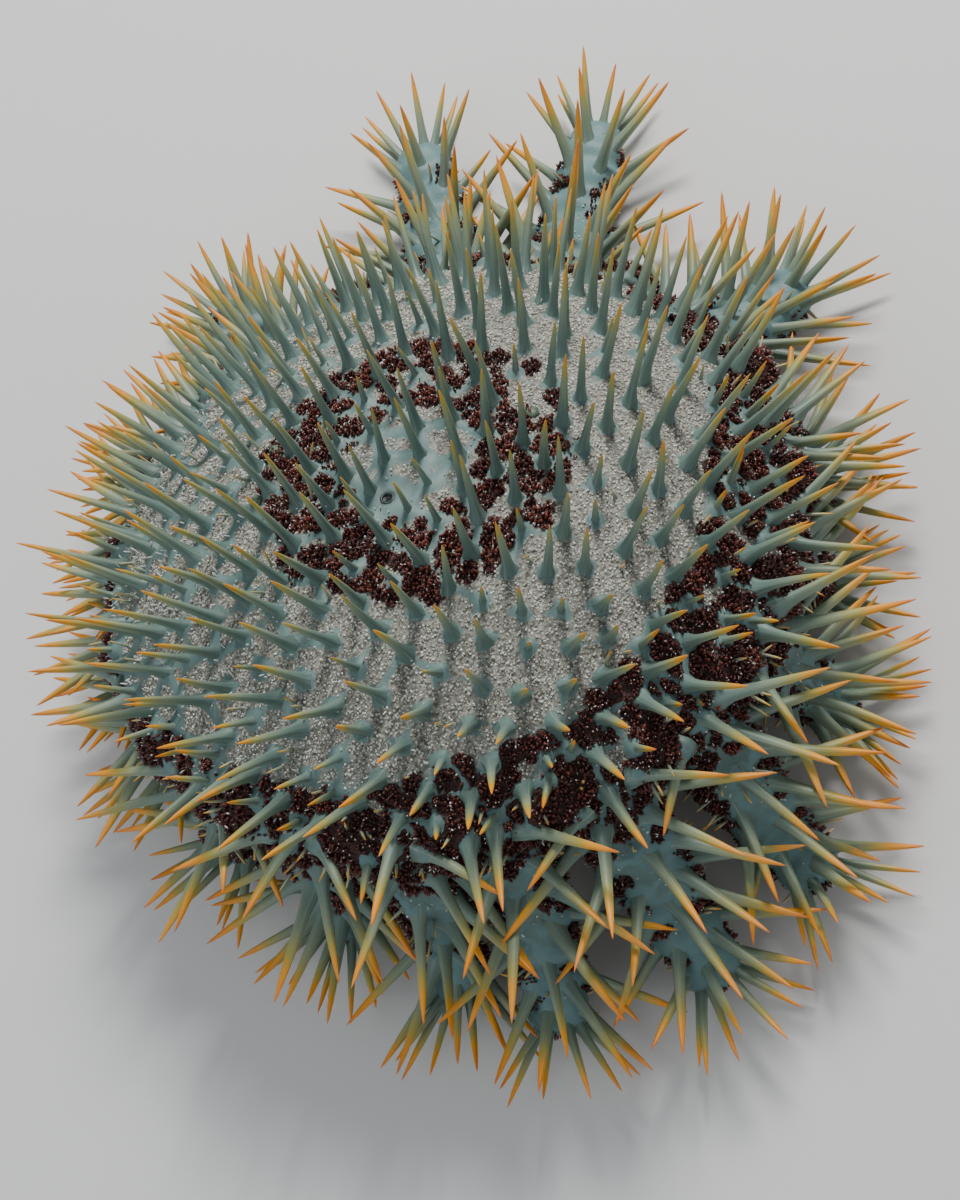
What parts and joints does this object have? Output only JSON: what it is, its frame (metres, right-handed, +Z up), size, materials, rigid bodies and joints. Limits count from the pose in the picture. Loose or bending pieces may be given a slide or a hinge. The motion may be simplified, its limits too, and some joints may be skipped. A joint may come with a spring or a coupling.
{
  "type": "crown of thorns starfish model",
  "caption": "Life-size still crown of thorns starfish: a domed, thorny disc with thorny arms that drape down to the floor, and tube feet beneath.",
  "frame": {"origin": "centre of the footprint at floor level, under the middle of the model's box", "axes": "+Z up through the disc; the crowded arms that the picture shows nearest the camera are at -Y"},
  "size_m": [0.3216, 0.3736, 0.1261],
  "materials": {
    "skin": "matte",
    "mouth": "matte"
  },
  "bodies": {
    "root": {"disc": "skin", "mouth": "mouth", "arm_01": "skin", "arm_02": "skin", "arm_03": "skin", "arm_04": "skin", "arm_05": "skin", "arm_06": "skin", "arm_07": "skin", "arm_08": "skin", "arm_09": "skin", "arm_10": "skin", "arm_11": "skin", "arm_12": "skin", "arm_13": "skin", "arm_14": "skin", "arm_15": "skin", "arm_16": "skin", "arm_17": "skin"}
  },
  "joints": []
}
